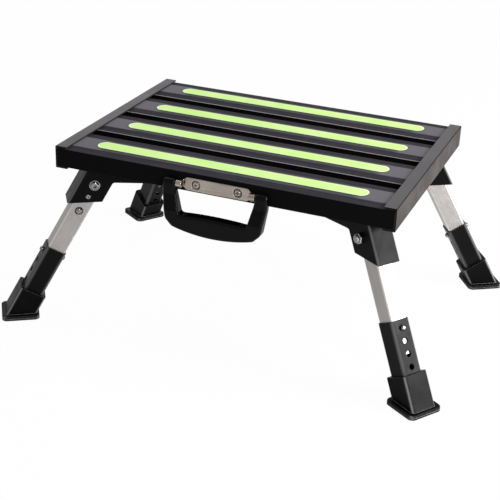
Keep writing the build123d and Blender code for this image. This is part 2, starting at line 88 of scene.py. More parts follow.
class Graph:
    """Adds nodes to one node tree and links them."""

    MIX_SHARE, MIX_FIRST, MIX_SECOND, MIX_RESULT = 0, 6, 7, 2

    def __init__(self, tree: bpy.types.NodeTree) -> None:
        """Keeps the tree that the nodes go in.

        Args:
            tree: node tree of a material, a world or a group.
        """
        self.tree = tree

    def node(self, kind: str, **settings: object) -> bpy.types.Node:
        """Adds one node.

        Args:
            kind: Blender's name of the node type.
            **settings: plain properties of the node.

        Returns:
            The new node.
        """
        made = self.tree.nodes.new(kind)
        for name, value in settings.items():
            setattr(made, name, value)
        return made

    def feed(self, socket: bpy.types.NodeSocket, value: Feed) -> None:
        """Links an output to a socket, or sets the socket's own value.

        Args:
            socket: input that takes the value.
            value: output of another node, or a constant.
        """
        if isinstance(value, bpy.types.NodeSocket):
            self.tree.links.new(value, socket)
        else:
            socket.default_value = value

    def math(self, operation: str, *values: Feed, clamp: bool = False) -> bpy.types.NodeSocket:
        """Adds a Math node.

        Args:
            operation: name of the operation.
            *values: its inputs in order.
            clamp: whether the result stays between 0 and 1.

        Returns:
            The node's output.
        """
        made = self.node("ShaderNodeMath", operation=operation, use_clamp=clamp)
        for socket, value in zip(made.inputs, values):
            self.feed(socket, value)
        return made.outputs[0]

    def vector(self, operation: str, *values: Feed) -> bpy.types.Node:
        """Adds a Vector Math node.

        Args:
            operation: name of the operation.
            *values: its vector inputs in order.

        Returns:
            The node, whose first output is a vector and second a value.
        """
        made = self.node("ShaderNodeVectorMath", operation=operation)
        for socket, value in zip(made.inputs, values):
            self.feed(socket, value)
        return made

    def times(self, *values: Feed) -> bpy.types.NodeSocket:
        """Multiplies two or more values.

        Args:
            *values: values to multiply.

        Returns:
            The product.
        """
        product = values[0]
        for value in values[1:]:
            product = self.math("MULTIPLY", product, value)
        return product

    def spot(self, kind: str) -> bpy.types.NodeSocket:
        """Gives the place or the direction on the piece.

        Args:
            kind: name of the Texture Coordinate output.

        Returns:
            The vector.
        """
        return self.node("ShaderNodeTexCoord").outputs[kind]

    def parts(self, vector: Feed) -> bpy.types.NodeOutputs:
        """Splits a vector.

        Args:
            vector: vector to split.

        Returns:
            Outputs X, Y and Z.
        """
        made = self.node("ShaderNodeSeparateXYZ")
        self.feed(made.inputs[0], vector)
        return made.outputs

    def noise(self, where: Feed, scale: Feed, detail: float = 2.0,
              roughness: float = 0.5) -> bpy.types.NodeSocket:
        """Adds a Noise texture.

        Args:
            where: place on the piece.
            scale: fineness of the noise.
            detail: number of finer layers.
            roughness: share of the finer layers.

        Returns:
            The noise, mostly between 0.3 and 0.7.
        """
        made = self.node("ShaderNodeTexNoise")
        for name, value in (("Vector", where), ("Scale", scale), ("Detail", detail),
                            ("Roughness", roughness)):
            self.feed(made.inputs[name], value)
        return made.outputs[0]

    def leg_way(self, way: Vector) -> bpy.types.NodeSocket:
        """Mirrors a direction of the rear right leg to the leg that the surface is on.

        Args:
            way: direction on the rear right leg.

        Returns:
            The direction on this leg.
        """
        signs = self.vector("SIGN", self.spot("Object")).outputs[0]
        lean = self.vector("MULTIPLY", signs, (way.x, way.y, 0.0)).outputs[0]
        return self.vector("ADD", lean, (0.0, 0.0, way.z)).outputs[0]

    def mix(self, share: Feed, first: Feed, second: Feed) -> bpy.types.NodeSocket:
        """Mixes two colours.

        Args:
            share: how much of the second colour shows.
            first: colour at a share of 0.
            second: colour at a share of 1.

        Returns:
            The mixed colour.
        """
        made = self.node("ShaderNodeMix", data_type="RGBA")
        self.feed(made.inputs[self.MIX_SHARE], share)
        self.feed(made.inputs[self.MIX_FIRST], first)
        self.feed(made.inputs[self.MIX_SECOND], second)
        return made.outputs[self.MIX_RESULT]

    def span(self, value: Feed, low: Feed, high: Feed, start: float = 0.0,
             end: float = 1.0) -> bpy.types.NodeSocket:
        """Maps a value smoothly from one range to another.

        Args:
            value: value to map.
            low: value that gives start.
            high: value that gives end.
            start: result at low and below.
            end: result at high and above.

        Returns:
            The mapped value.
        """
        made = self.node("ShaderNodeMapRange", interpolation_type="SMOOTHSTEP")
        for socket, number in zip(made.inputs, (value, low, high, start, end)):
            self.feed(socket, number)
        return made.outputs[0]

    def place(self, group: bpy.types.NodeTree, **values: Feed) -> bpy.types.Node:
        """Places a shared effect in this tree.

        Args:
            group: the effect's node group.
            **values: values for the group's named inputs.

        Returns:
            The group node.
        """
        made = self.node("ShaderNodeGroup", node_tree=group)
        for name, value in values.items():
            self.feed(made.inputs[name], value)
        return made


@dataclass(frozen=True)
class Port:
    """One named socket of a shared effect."""

    name: str
    kind: str = "NodeSocketFloat"
    start: Optional[Feed] = None


class Effects:
    """Shader node groups that the finishes share."""

    NOISE_SPAN = (0.3, 0.7)
    GRAIN_DETAIL, GRAIN_ROUGHNESS = 4.0, 0.6
    EDGE_SAMPLES, BREAK_SCALE, BREAK_SPAN = 6, 160.0, (0.3, 0.6, 0.35, 1.0)
    DUST_DETAIL, DUST_UPWARD, DUST_PATCHES = 5.0, (0.35, 0.95), (0.42, 0.75)
    BRUSH_DETAIL, BRUSH_DRAW = 3.0, -0.985
    CAVITY_SAMPLES = 8
    CORNER_GAIN = 2.0

    def __init__(self) -> None:
        """Builds every group once."""
        self.grain = self._grain()
        self.edge = self._edge()
        self.dust = self._dust()
        self.brush = self._brush()
        self.cavity = self._cavity()
        self.bend = self._bend()

    @staticmethod
    def _group(name: str, takes: Sequence[Port], gives: Sequence[Port]) -> tuple[
            Graph, bpy.types.Node, bpy.types.Node]:
        """Starts a node group with named sockets.

        Args:
            name: name of the group.
            takes: its inputs.
            gives: its outputs.

        Returns:
            The group's graph, its input node and its output node.
        """
        tree = bpy.data.node_groups.new(name, "ShaderNodeTree")
        for port in takes:
            socket = tree.interface.new_socket(port.name, in_out="INPUT", socket_type=port.kind)
            if port.start is not None:
                socket.default_value = port.start
        for port in gives:
            tree.interface.new_socket(port.name, in_out="OUTPUT", socket_type=port.kind)
        graph = Graph(tree)
        return graph, graph.node("NodeGroupInput"), graph.node("NodeGroupOutput")

    def _grain(self) -> bpy.types.NodeTree:
        """Fine even grain of a coating, with a second, broader cloud.

        Returns:
            The group, with outputs Fine and Cloud from 0 to 1.
        """
        graph, takes, gives = self._group(
            "Coat grain",
            (Port("Fine Scale", start=900.0), Port("Cloud Scale", start=22.0)),
            (Port("Fine"), Port("Cloud")),
        )
        where = graph.spot("Object")
        for name in ("Fine", "Cloud"):
            noise = graph.noise(where, takes.outputs[f"{name} Scale"], self.GRAIN_DETAIL,
                                self.GRAIN_ROUGHNESS)
            graph.feed(gives.inputs[name], graph.span(noise, *self.NOISE_SPAN))
        return graph.tree

    def _edge(self) -> bpy.types.NodeTree:
        """Softened edges and a broken mask along them, for painted highlights on arrises.

        Returns:
            The group, with a Mask that is 1 on arrises and the softened Normal.
        """
        graph, takes, gives = self._group(
            "Edge highlight",
            (Port("Radius", start=0.0008), Port("Gain", start=6.0)),
            (Port("Mask"), Port("Normal", "NodeSocketVector")),
        )
        bevel = graph.node("ShaderNodeBevel", samples=self.EDGE_SAMPLES)
        graph.feed(bevel.inputs["Radius"], takes.outputs["Radius"])
        normal = graph.node("ShaderNodeNewGeometry").outputs["Normal"]
        along = graph.vector("DOT_PRODUCT", bevel.outputs[0], normal).outputs["Value"]
        turn = graph.times(graph.math("SUBTRACT", 1.0, along), takes.outputs["Gain"])
        broken = graph.span(graph.noise(graph.spot("Object"), self.BREAK_SCALE), *self.BREAK_SPAN)
        graph.feed(gives.inputs["Mask"], graph.math("MULTIPLY", turn, broken, clamp=True))
        graph.feed(gives.inputs["Normal"], bevel.outputs[0])
        return graph.tree

    def _dust(self) -> bpy.types.NodeTree:
        """Thin dust on faces that look up.

        Returns:
            The group, with a Mask from 0 to 1.
        """
        graph, takes, gives = self._group(
            "Settled dust", (Port("Scale", start=60.0),), (Port("Mask"),))
        normal = graph.node("ShaderNodeNewGeometry").outputs["Normal"]
        noise = graph.noise(graph.spot("Object"), takes.outputs["Scale"], self.DUST_DETAIL)
        facing = graph.span(graph.parts(normal)["Z"], *self.DUST_UPWARD)
        patches = graph.span(noise, *self.DUST_PATCHES)
        graph.feed(gives.inputs["Mask"], graph.times(facing, patches))
        return graph.tree

    def _brush(self) -> bpy.types.NodeTree:
        """Fine lines drawn out along one direction.

        Returns:
            The group, with a Value from 0 to 1.
        """
        graph, takes, gives = self._group(
            "Brush lines",
            (Port("Direction", "NodeSocketVector", (1.0, 0.0, 0.0)), Port("Fineness", start=900.0)),
            (Port("Value"),),
        )
        where = graph.spot("Object")
        along = graph.vector("DOT_PRODUCT", where, takes.outputs["Direction"]).outputs["Value"]
        pull = graph.vector("SCALE", takes.outputs["Direction"])
        graph.feed(pull.inputs["Scale"], graph.times(along, self.BRUSH_DRAW))
        drawn = graph.vector("ADD", where, pull.outputs[0]).outputs[0]
        noise = graph.noise(drawn, takes.outputs["Fineness"], self.BRUSH_DETAIL)
        graph.feed(gives.inputs["Value"], graph.span(noise, *self.NOISE_SPAN))
        return graph.tree

    def _cavity(self) -> bpy.types.NodeTree:
        """Mask for painted shade against narrow gaps, sockets and recesses.

        Returns:
            The group, with Open from 0 deep in a recess to 1 in the open.
        """
        graph, takes, gives = self._group(
            "Cavity",
            (Port("Reach", start=0.003), Port("Deep", start=0.25), Port("Clear", start=0.6)),
            (Port("Open"),),
        )
        shade = graph.node("ShaderNodeAmbientOcclusion", samples=self.CAVITY_SAMPLES,
                           only_local=True)
        graph.feed(shade.inputs["Distance"], takes.outputs["Reach"])
        graph.feed(gives.inputs["Open"], graph.span(shade.outputs["AO"], takes.outputs["Deep"],
                                                    takes.outputs["Clear"]))
        return graph.tree

    def _bend(self) -> bpy.types.NodeTree:
        """Mask for painted highlights on rounded corners that run down a leg, between its broad
        faces.

        Returns:
            The group, with a Mask that is 1 halfway round a corner and 0 on the broad faces.
        """
        graph, takes, gives = self._group(
            "Leg corner highlight", (Port("Sharpness", start=1.5),), (Port("Mask"),))
        normal = graph.spot("Normal")
        shares = []
        for face in LegAssembly.faces():
            facing = graph.vector("DOT_PRODUCT", normal, graph.leg_way(face)).outputs["Value"]
            shares.append(graph.math("ABSOLUTE", facing))
        turn = graph.math("MULTIPLY", graph.times(*shares), self.CORNER_GAIN, clamp=True)
        graph.feed(gives.inputs["Mask"], graph.math("POWER", turn, takes.outputs["Sharpness"]))
        return graph.tree


class Surface:
    """One material with its Principled shader and a bump of its own."""

    def __init__(self, name: str) -> None:
        """Starts the material.

        Args:
            name: name of the material.
        """
        self.material = bpy.data.materials.new(name)
        self.material.use_nodes = True
        tree = self.material.node_tree
        tree.nodes.clear()
        self.graph = Graph(tree)
        self.shader = self.graph.node("ShaderNodeBsdfPrincipled")
        out = self.graph.node("ShaderNodeOutputMaterial")
        tree.links.new(self.shader.outputs[0], out.inputs["Surface"])

    def set(self, **values: Feed) -> None:
        """Feeds the shader's sockets.

        Args:
            **values: socket names, with spaces written as underscores, and what feeds them.
        """
        for name, value in values.items():
            self.graph.feed(self.shader.inputs[name.replace("_", " ")], value)

    def bump(self, height: Feed, strength: float, distance: float,
             normal: Optional[Feed] = None) -> None:
        """Feeds the shader's normal from a height.

        Args:
            height: height from 0 to 1.
            strength: share of the bump that shows.
            distance: height of the bump in metres.
            normal: normal that the bump starts from.
        """
        made = self.graph.node("ShaderNodeBump")
        made.inputs["Strength"].default_value = strength
        made.inputs["Distance"].default_value = distance
        self.graph.feed(made.inputs["Height"], height)
        if normal is not None:
            self.graph.feed(made.inputs["Normal"], normal)
        self.graph.feed(self.shader.inputs["Normal"], made.outputs[0])


@dataclass(frozen=True)
class CoatFinish:
    """Satin coat with fine grain, a trace of dust and painted highlights on arrises and leg
    corners.
    """

    name: str
    deep: Color
    light: Color
    worn: Color
    rough: float
    shine: float
    grain: float = 900.0
    bump: float = 0.00006
    edge: float = 0.0008
    dust: float = 0.06
    wear: float = 0.6
    bend: Optional[Color] = None
    bend_sharpness: float = 1.5
    bump_share: float = 0.35
    smoother: float = 0.05
    rougher: float = 0.06

    def tint(self, graph: Graph, color: Feed) -> Feed:
        """Changes the coat's colour over the piece.

        Args:
            graph: graph of the material.
            color: colour of the plain coat.

        Returns:
            The colour to go on with.
        """
        return color

    def make(self, effects: Effects) -> Surface:
        """Builds the material.

        Args:
            effects: shared node groups.

        Returns:
            The surface, with its shader still open to more.
        """
        made = Surface(self.name)
        graph = made.graph
        grain = graph.place(effects.grain, **{"Fine Scale": self.grain})
        edge = graph.place(effects.edge, Radius=self.edge)
        dust = graph.place(effects.dust)
        color = graph.mix(grain.outputs["Cloud"], self.deep, self.light)
        color = self.tint(graph, color)
        color = graph.mix(graph.times(dust.outputs["Mask"], self.dust), color, self.worn)
        # painted highlight on arrises, in the pale colour that the dust also takes
        color = graph.mix(graph.times(edge.outputs["Mask"], self.wear), color, self.worn)
        # painted highlight halfway round the rounded leg corners
        if self.bend is not None:
            bend = graph.place(effects.bend, Sharpness=self.bend_sharpness)
            color = graph.mix(bend.outputs["Mask"], color, self.bend)
        rough = graph.span(grain.outputs["Cloud"], 0.0, 1.0, self.rough - self.smoother,
                           self.rough + self.rougher)
        made.set(Base_Color=color, Roughness=rough, Specular_IOR_Level=self.shine)
        made.bump(grain.outputs["Fine"], self.bump_share, self.bump, edge.outputs["Normal"])
        return made


@dataclass(frozen=True)
class RailFinish(CoatFinish):
    """End rail coat: pale as painted sheen, darker and warmer outside, painted shade on ends, dark
    long edges.
    """

    outer: Color = (0.030, 0.0235, 0.0210, 1.0)
    ends: Color = (0.0050, 0.0050, 0.0053, 1.0)
    long_edge: Color = (0.0040, 0.0040, 0.0040, 1.0)
    face_turn: tuple[float, float] = (0.6, 0.9)
    edge_turn: tuple[float, float] = (0.15, 0.45)

    def tint(self, graph: Graph, color: Feed) -> Feed:
        """Colours the outer faces, paints shade on the ends and darkens the long edges.

        Args:
            graph: graph of the material.
            color: colour of the plain coat.

        Returns:
            The colour to go on with.
        """
        facing = graph.parts(graph.spot("Normal"))
        sideways, endways, upright = (graph.math("ABSOLUTE", facing[axis]) for axis in "XYZ")
        turned = graph.times(sideways, upright)
        color = graph.mix(graph.span(sideways, *self.face_turn), color, self.outer)
        # painted shade on the ends
        color = graph.mix(graph.span(endways, *self.face_turn), color, self.ends)
        return graph.mix(graph.span(turned, *self.edge_turn), color, self.long_edge)


@dataclass(frozen=True)
class DeckFinish:
    """Dark slat coat with lines on the shoulders, flats pale as painted sheen, sides dark as
    painted shade.
    """

    name: str = "slat_coat"
    side: Color = (0.0055, 0.0054, 0.0057, 1.0)
    shoulder: Color = (0.031, 0.0292, 0.0365, 1.0)
    flat: Color = (0.136, 0.131, 0.146, 1.0)
    worn: Color = (0.16, 0.155, 0.165, 1.0)
    arris: Color = (0.42, 0.39, 0.41, 1.0)
    arris_z: float = 0.2400
    shoulder_z: float = 0.2407
    flat_z: float = 0.2413
    arris_fade: float = 0.0003
    arris_turn: tuple[float, float] = (0.4, 0.9)
    tape_reach: float = 0.172
    tape_fade: float = 0.006
    beside_tape: float = 0.6
    line_pitch: float = 0.0026
    upward: tuple[float, float] = (0.5, 0.9)
    grain_scale: float = 700.0
    cloud_scale: float = 14.0
    edge: float = 0.0009
    edge_gain: float = 5.0
    dust_scale: float = 45.0
    streak_fineness: float = 500.0
    streak: float = 0.08
    dust: float = 0.06
    wear: float = 0.45
    shoulder_rough: float = 0.5
    flat_rough: float = 0.36
    rough_cloud: float = 0.06
    shine: float = 0.005
    flat_coat: float = 0.05
    coat_rough: float = 0.4
    grain_height: float = 0.3
    bump_share: float = 0.4
    bump: float = 0.00012

    def make(self, effects: Effects) -> Surface:
        """Builds the material.

        Args:
            effects: shared node groups.

        Returns:
            The surface of the slats.
        """
        made = Surface(self.name)
        graph = made.graph
        grain = graph.place(effects.grain, **{"Fine Scale": self.grain_scale,
                                              "Cloud Scale": self.cloud_scale})
        edge = graph.place(effects.edge, Radius=self.edge, Gain=self.edge_gain)
        dust = graph.place(effects.dust, Scale=self.dust_scale)
        brush = graph.place(effects.brush, Fineness=self.streak_fineness)
        place = graph.parts(graph.spot("Object"))
        facing = graph.parts(graph.node("ShaderNodeNewGeometry").outputs["Normal"])
        raised = graph.span(place["Z"], self.shoulder_z, self.flat_z)
        top = graph.span(facing["Z"], *self.upward)
        ribs = graph.math("SINE", graph.times(place["Y"], math.tau / self.line_pitch))
        lines = graph.times(graph.span(ribs, -1.0, 1.0), top, graph.math("SUBTRACT", 1.0, raised))
        # painted shade on the flats beside the tapes, where they take the shoulder colour
        shaded = graph.span(graph.math("ABSOLUTE", place["X"]), self.tape_reach - self.tape_fade,
                            self.tape_reach + self.tape_fade, self.beside_tape, 0.0)
        flat = graph.mix(shaded, self.flat, self.shoulder)
        # raised flats take the pale colour as a painted sheen, side faces the dark colour as
        # painted shade
        color = graph.mix(raised, graph.mix(top, self.side, self.shoulder), flat)
        # fine streaks and dust in a pale colour
        streaks = graph.times(brush.outputs["Value"], top, self.streak)
        color = graph.mix(streaks, color, self.worn)
        color = graph.mix(graph.times(dust.outputs["Mask"], self.dust), color, self.worn)
        # painted highlight on arrises, in the same pale colour
        color = graph.mix(graph.times(edge.outputs["Mask"], self.wear), color, self.worn)
        # painted highlight line on the rounded front arris of each slat
        turned = graph.times(facing["Y"], facing["Z"], -Effects.CORNER_GAIN)
        outer = graph.span(place["Z"], self.arris_z, self.arris_z + self.arris_fade, 1.0, 0.0)
        arris = graph.times(graph.span(turned, *self.arris_turn), outer)
        color = graph.mix(arris, color, self.arris)
        rough = graph.span(raised, 0.0, 1.0, self.shoulder_rough, self.flat_rough)
        rough = graph.math("ADD", rough, graph.times(grain.outputs["Cloud"], self.rough_cloud))
        made.set(Base_Color=color, Roughness=rough, Specular_IOR_Level=self.shine,
                 Coat_Weight=graph.times(raised, self.flat_coat), Coat_Roughness=self.coat_rough)
        height = graph.math("ADD", graph.times(grain.outputs["Fine"], self.grain_height), lines)
        made.bump(height, self.bump_share, self.bump, edge.outputs["Normal"])
        return made


@dataclass(frozen=True)
class TapeFinish:
    """Pale glow tape with a fine embossed grain, a painted highlight on its rim and painted shade
    outside it.
    """

    name: str = "glow_tape"
    body: Color = (0.595, 0.92, 0.265, 1.0)
    pale: Color = (0.69, 0.96, 0.35, 1.0)
    rim: Color = (0.93, 1.0, 0.78, 1.0)
    margin: Color = (0.06, 0.10, 0.03, 1.0)
    length: float = 0.368
    width: float = 0.025
    rim_width: float = 0.0026
    margin_width: float = 0.0014
    margin_at_end: float = 0.0005
    margin_inner: float = 0.6
    margin_inner_at_end: float = 0.4
    grain_scale: float = 1100.0
    cloud_scale: float = 30.0
    speckle: float = 0.12
    smooth: float = 0.44
    coarse: float = 0.56
    shine: float = 0.006
    bump_share: float = 0.3
    bump: float = 0.00005

    def make(self, effects: Effects) -> Surface:
        """Builds the material.

        Args:
            effects: shared node groups.

        Returns:
            The surface of the tapes.
        """
        made = Surface(self.name)
        graph = made.graph
        grain = graph.place(effects.grain, **{"Fine Scale": self.grain_scale,
                                              "Cloud Scale": self.cloud_scale})
        place = graph.parts(graph.spot("Generated"))
        along, across = (
            graph.math("ABSOLUTE", graph.times(graph.math("SUBTRACT", place[axis], 0.5), size))
            for axis, size in (("X", self.length), ("Y", self.width))
        )
        outline = self.width / 2
        straight = self.length / 2 - outline
        past = graph.math("MAXIMUM", graph.math("SUBTRACT", along, straight), 0.0)
        reach = graph.math("SQRT", graph.math("ADD", graph.times(past, past),
                                              graph.times(across, across)))
        rim = graph.span(reach, outline - self.rim_width, outline - self.margin_width)
        beside = graph.span(across, outline - self.margin_width,
                            outline - self.margin_inner * self.margin_width)
        around = graph.span(reach, outline - self.margin_at_end,
                            outline - self.margin_inner_at_end * self.margin_at_end)
        color = graph.mix(grain.outputs["Cloud"], self.body, self.pale)
        # fine speckles take the rim's highlight colour
        color = graph.mix(graph.times(grain.outputs["Fine"], self.speckle), color, self.rim)
        # painted highlight along the rim
        color = graph.mix(rim, color, self.rim)
        # painted shade in the margin outside the rim
        color = graph.mix(graph.math("MAXIMUM", beside, around), color, self.margin)
        rough = graph.span(grain.outputs["Fine"], 0.0, 1.0, self.smooth, self.coarse)
        made.set(Base_Color=color, Roughness=rough, Specular_IOR_Level=self.shine)
        made.bump(grain.outputs["Fine"], self.bump_share, self.bump)
        return made


@dataclass(frozen=True)
class MetalFinish:
    """Bare or plated metal with drawn lines, soft cloud, painted glints and painted shade in
    recesses.
    """

    name: str
    deep: Color
    bright: Color
    rough: float
    direction: Optional[Triple] = None
    along_leg: bool = False
    fineness: float = 900.0
    edge: float = 0.0006
    glint: float = 0.5
    recess: float = 0.003
    clear: float = 0.6
    hollow: Color = (0.012, 0.012, 0.012, 1.0)
    polished: Color = (0.9, 0.89, 0.87, 1.0)
    bend: Optional[Color] = None
    grain_scale: float = 1500.0
    cloud_scale: float = 40.0
    line_share: float = 0.5
    smoother: float = 0.03
    rougher: float = 0.04
    bump_share: float = 0.1
    bump: float = 0.00002

    def make(self, effects: Effects) -> Surface:
        """Builds the material.

        Args:
            effects: shared node groups.

        Returns:
            The metal surface.
        """
        made = Surface(self.name)
        graph = made.graph
        grain = graph.place(effects.grain, **{"Fine Scale": self.grain_scale,
                                              "Cloud Scale": self.cloud_scale})
        edge = graph.place(effects.edge, Radius=self.edge)
        way = graph.leg_way(LegAssembly.slope(1, 1)) if self.along_leg else self.direction
        lines = grain.outputs["Fine"]
        if way is not None:
            brush = graph.place(effects.brush, Direction=way, Fineness=self.fineness)
            lines = brush.outputs["Value"]
        tone = graph.math("ADD", graph.times(lines, self.line_share),
                          graph.times(grain.outputs["Cloud"], 1.0 - self.line_share))
        color = graph.mix(tone, self.deep, self.bright)
        # painted glints on arrises
        color = graph.mix(graph.times(edge.outputs["Mask"], self.glint), color, self.polished)
        # painted highlight along the rounded leg corners
        if self.bend is not None:
            color = graph.mix(graph.place(effects.bend).outputs["Mask"], color, self.bend)
        # painted shade in recesses, sockets and narrow gaps
        cavity = graph.place(effects.cavity, Reach=self.recess, Clear=self.clear)
        color = graph.mix(cavity.outputs["Open"], self.hollow, color)
        rough = graph.span(tone, 0.0, 1.0, self.rough - self.smoother, self.rough + self.rougher)
        made.set(Base_Color=color, Metallic=1.0, Roughness=rough)
        made.bump(lines, self.bump_share, self.bump, edge.outputs["Normal"])
        return made


class Wardrobe:
    """Every finish of the step, built once."""

    def __init__(self) -> None:
        """Builds the shared effects and the materials."""
        effects = Effects()
        finishes = (
            # for coats the third colour serves dust and the painted edge highlight; corner colours
            # are painted highlights
            DeckFinish(),
            # the front slat's arris takes a near-black colour in place of the painted highlight
            DeckFinish("front_slat_coat", arris=(0.0020, 0.0020, 0.0022, 1.0)),
            TapeFinish(),
            # the rail coat's pale colour is a painted sheen on the tops
            RailFinish("rail_coat", (0.074, 0.0710, 0.0745, 1.0), (0.088, 0.0845, 0.0885, 1.0),
                       (0.13, 0.127, 0.13, 1.0), 0.38, 0.06, grain=650.0, edge=0.0007, dust=0.0,
                       wear=0.3),
            CoatFinish("bracket_coat", (0.0010, 0.0010, 0.0011, 1.0), (0.0018, 0.0018, 0.0019, 1.0),
                       (0.05, 0.05, 0.052, 1.0), 0.36, 0.072, edge=0.0010,
                       bend=(0.12, 0.12, 0.122, 1.0)),
            CoatFinish("sleeve_coat", (0.0016, 0.0016, 0.0017, 1.0), (0.0028, 0.0028, 0.0030, 1.0),
                       (0.08, 0.08, 0.082, 1.0), 0.34, 0.095, grain=1100.0,
                       bend=(0.11, 0.11, 0.112, 1.0)),
            CoatFinish("foot_rubber", (0.0020, 0.0020, 0.0021, 1.0), (0.0034, 0.0034, 0.0036, 1.0),
                       (0.30, 0.30, 0.302, 1.0), 0.34, 0.055, grain=500.0, bump=0.00005,
                       edge=0.0013, dust=0.01, bend=(0.20, 0.20, 0.202, 1.0), bend_sharpness=4.0),
            CoatFinish("handle_gloss", (0.0010, 0.0010, 0.0012, 1.0), (0.0016, 0.0016, 0.0018, 1.0),
                       (0.10, 0.10, 0.102, 1.0), 0.16, 0.11, grain=400.0, bump=0.00002, edge=0.0014,
                       dust=0.01, wear=0.4),
            MetalFinish("leg_metal", (0.39, 0.366, 0.352, 1.0), (0.49, 0.465, 0.45, 1.0), 0.44,
                        along_leg=True, bend=(0.80, 0.76, 0.72, 1.0)),
            MetalFinish("zinc_plate", (0.10, 0.10, 0.098, 1.0), (0.46, 0.46, 0.45, 1.0), 0.12,
                        edge=0.0011, glint=0.95, recess=0.0032, clear=0.95),
            MetalFinish("spring_metal", (0.20, 0.20, 0.20, 1.0), (0.34, 0.34, 0.34, 1.0), 0.16,
                        along_leg=True, edge=0.0009, glint=0.9, recess=0.0022, clear=0.85),
            MetalFinish("screw_plate", (0.15, 0.142, 0.135, 1.0), (0.66, 0.63, 0.60, 1.0), 0.12,
                        edge=0.0008, glint=0.95, recess=0.0024, clear=0.95),
            MetalFinish("nickel_plate", (0.30, 0.258, 0.222, 1.0), (0.50, 0.44, 0.39, 1.0), 0.22,
                        direction=(1.0, 0.0, 0.0), edge=0.0010, glint=0.8, recess=0.0070,
                        clear=0.85),
        )
        self.materials = {finish.name: finish.make(effects).material for finish in finishes}

    def dress(self, piece: bpy.types.Object, name: str) -> None:
        """Gives a piece one finish all over.

        Args:
            piece: mesh object.
            name: name of the finish.
        """
        if not piece.material_slots:
            piece.data.materials.append(None)
        for slot in piece.material_slots:
            slot.material = self.materials[name]
        LOG.info("%s: %s", piece.name, name)


@dataclass
class Platform:
    """Slats, tapes, rails and the fasteners under them."""

    slat_count: int = 4

    def dress(self, nodes: dict[str, bpy.types.Object], wardrobe: Wardrobe) -> None:
        """Gives the platform's nodes their finishes.

        Args:
            nodes: CAD objects by name.
            wardrobe: the finishes.
        """
        for number in range(1, self.slat_count + 1):
            coat = "front_slat_coat" if number == 1 else "slat_coat"
            wardrobe.dress(nodes[f"deck_slat_{number}"], coat)
            wardrobe.dress(nodes[f"glow_tape_{number}"], "glow_tape")
        for side in ("left", "right"):
            wardrobe.dress(nodes[f"{side}_end_rail"], "rail_coat")
        for name in ("rail_rivets", "bracket_screws"):
            wardrobe.dress(nodes[name], "zinc_plate")


@dataclass
class CarryHandle:
    """Plate, screws and swinging handle on the front slat."""

    plate_finish: str = "nickel_plate"
    screw_finish: str = "screw_plate"
    handle_finish: str = "handle_gloss"

    def dress(self, nodes: dict[str, bpy.types.Object], wardrobe: Wardrobe) -> None:
        """Gives the handle's nodes their finishes.

        Args:
            nodes: CAD objects by name.
            wardrobe: the finishes.
        """
        wardrobe.dress(nodes["handle_plate"], self.plate_finish)
        wardrobe.dress(nodes["plate_screws"], self.screw_finish)
        wardrobe.dress(nodes["swing_handle"], self.handle_finish)


